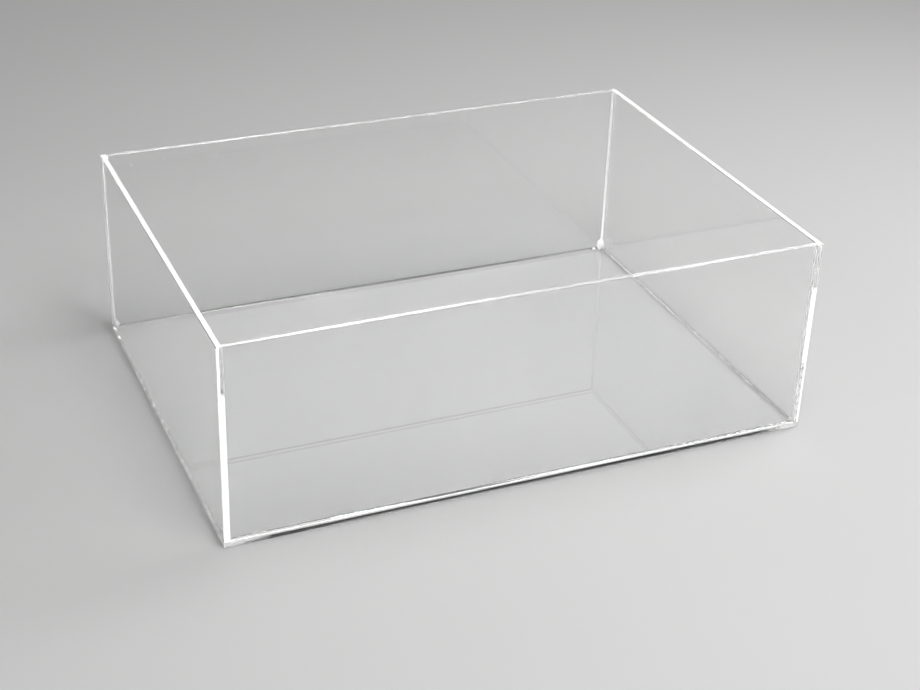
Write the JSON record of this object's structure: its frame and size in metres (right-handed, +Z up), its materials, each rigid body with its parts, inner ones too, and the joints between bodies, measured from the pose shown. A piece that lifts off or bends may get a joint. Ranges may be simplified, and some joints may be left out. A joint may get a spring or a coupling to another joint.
{
  "type": "acrylic storage box",
  "caption": "Open-topped rectangular storage box of clear polished acrylic sheet, its upright walls solvent welded to a flat base, for keeping papers and small goods in view.",
  "frame": {"origin": "middle of the underside", "axes": "+X along the length to the right, +Y from the front to the back, +Z up out of the open top"},
  "size_m": [0.31, 0.224, 0.106],
  "materials": {
    "clear_acrylic": "clear cast acrylic sheet, polished faces and edges",
    "acrylic_cement": "clear hardened acrylic cement, glossy"
  },
  "bodies": {
    "root": {"base_panel": "clear_acrylic", "left_panel": "clear_acrylic", "right_panel": "clear_acrylic", "front_panel": "clear_acrylic", "back_panel": "clear_acrylic", "front_base_seam": "acrylic_cement", "back_base_seam": "acrylic_cement", "left_base_seam": "acrylic_cement", "right_base_seam": "acrylic_cement", "front_left_corner_seam": "acrylic_cement", "front_right_corner_seam": "acrylic_cement", "back_left_corner_seam": "acrylic_cement", "back_right_corner_seam": "acrylic_cement"}
  },
  "joints": []
}
